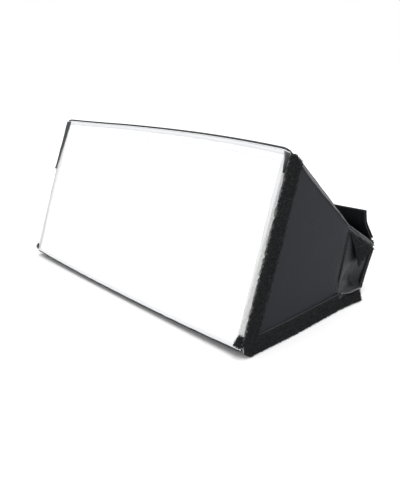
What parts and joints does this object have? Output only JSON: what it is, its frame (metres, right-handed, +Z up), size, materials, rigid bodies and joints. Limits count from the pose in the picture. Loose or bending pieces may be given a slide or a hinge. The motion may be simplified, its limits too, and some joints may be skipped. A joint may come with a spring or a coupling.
{
  "type": "flash gun softbox",
  "caption": "Folding wedge softbox for a flash gun: white diffuser front, stiff black vinyl panels closed by hook and loop tape, pleated rear collar and tongue.",
  "frame": {"origin": "on the floor, under the middle of the box", "axes": "+X to the right for someone who faces the diffuser, +Y from the diffuser towards the flash gun, +Z up"},
  "size_m": [0.3178, 0.1676, 0.1421],
  "materials": {
    "vinyl": "matt black vinyl with a fine grain",
    "soft_vinyl": "thin creased satin black vinyl",
    "binding": "glossy folded vinyl binding",
    "stiffener": "sheet plastic",
    "white_lining": "white reflective lining",
    "diffuser_cloth": "smooth white translucent cloth",
    "hem_cloth": "folded white hem",
    "white_hook": "white hook tape",
    "loop_tape": "black brushed loop tape",
    "hook_tape": "black hook tape"
  },
  "bodies": {
    "bottom": {"bottom_board": "stiffener", "bottom_front_binding": "binding", "bottom_lining": "white_lining", "bottom_skin": "vinyl", "collar_bottom_flap": "vinyl", "collar_grip_bottom": "loop_tape", "left_bottom_hook_strip": "hook_tape", "right_bottom_hook_strip": "hook_tape"},
    "top": {"collar_grip_top": "loop_tape", "collar_top_flap": "vinyl", "left_collar_rim": "binding", "left_top_edge_binding": "binding", "right_collar_rim": "binding", "right_top_edge_binding": "binding", "top_board": "stiffener", "top_front_binding": "binding", "top_lining": "white_lining", "top_skin": "vinyl"},
    "diffuser": {"diffuser_cloth": "diffuser_cloth", "diffuser_hem_bottom": "hem_cloth", "diffuser_hem_top": "hem_cloth", "left_corner_tab_bottom": "loop_tape", "left_corner_tab_top": "binding", "left_diffuser_hem": "hem_cloth", "left_diffuser_hook_return": "white_hook", "right_corner_tab_bottom": "loop_tape", "right_corner_tab_top": "binding", "right_diffuser_hem": "hem_cloth", "right_diffuser_hook_return": "white_hook"},
    "left_side": {"left_bottom_loop_strip": "loop_tape", "left_collar_foot_loop": "loop_tape", "left_front_loop_strip": "loop_tape", "left_gusset_front_fold": "soft_vinyl", "left_gusset_loop_patch": "loop_tape", "left_gusset_rear_band": "binding", "left_gusset_rear_fold": "soft_vinyl", "left_side_board": "stiffener", "left_side_edge_binding": "binding", "left_side_lining": "white_lining", "left_side_skin": "vinyl"},
    "tongue": {"left_tongue_end_hem": "binding", "right_tongue_end_hem": "binding", "tongue_hook_strip": "hook_tape", "tongue_lining": "vinyl", "tongue_skin": "vinyl"},
    "right_side": {"right_bottom_loop_strip": "loop_tape", "right_collar_foot_loop": "loop_tape", "right_front_loop_strip": "loop_tape", "right_gusset_front_fold": "soft_vinyl", "right_gusset_loop_patch": "loop_tape", "right_gusset_rear_band": "binding", "right_gusset_rear_fold": "soft_vinyl", "right_side_board": "stiffener", "right_side_edge_binding": "binding", "right_side_lining": "white_lining", "right_side_skin": "vinyl"}
  },
  "joints": [
    {"name": "diffuser_fold", "type": "hinge", "parent": "top", "child": "diffuser", "pos_m": [0, -0.03229, 0.13995], "axis": [-1, 0, 0], "range_deg": [0, 111]},
    {"name": "bottom_fold", "type": "hinge", "parent": "diffuser", "child": "bottom", "pos_m": [0, -0.08315, 0.00863], "axis": [-1, 0, 0], "range_deg": [0, 111]},
    {"name": "right_side_fold", "type": "hinge", "parent": "top", "child": "right_side", "pos_m": [0.156, -0.03142, 0.14081], "axis": [0, -0.7392, 0.6735], "range_deg": [0, 95]},
    {"name": "left_side_fold", "type": "hinge", "parent": "top", "child": "left_side", "pos_m": [-0.156, -0.03142, 0.14081], "axis": [0, 0.7392, -0.6735], "range_deg": [0, 95]},
    {"name": "tongue_fold", "type": "hinge", "parent": "top", "child": "tongue", "pos_m": [0, 0.08289, 0.04695], "axis": [-1, 0, 0], "range_deg": [-20, 150]}
  ]
}
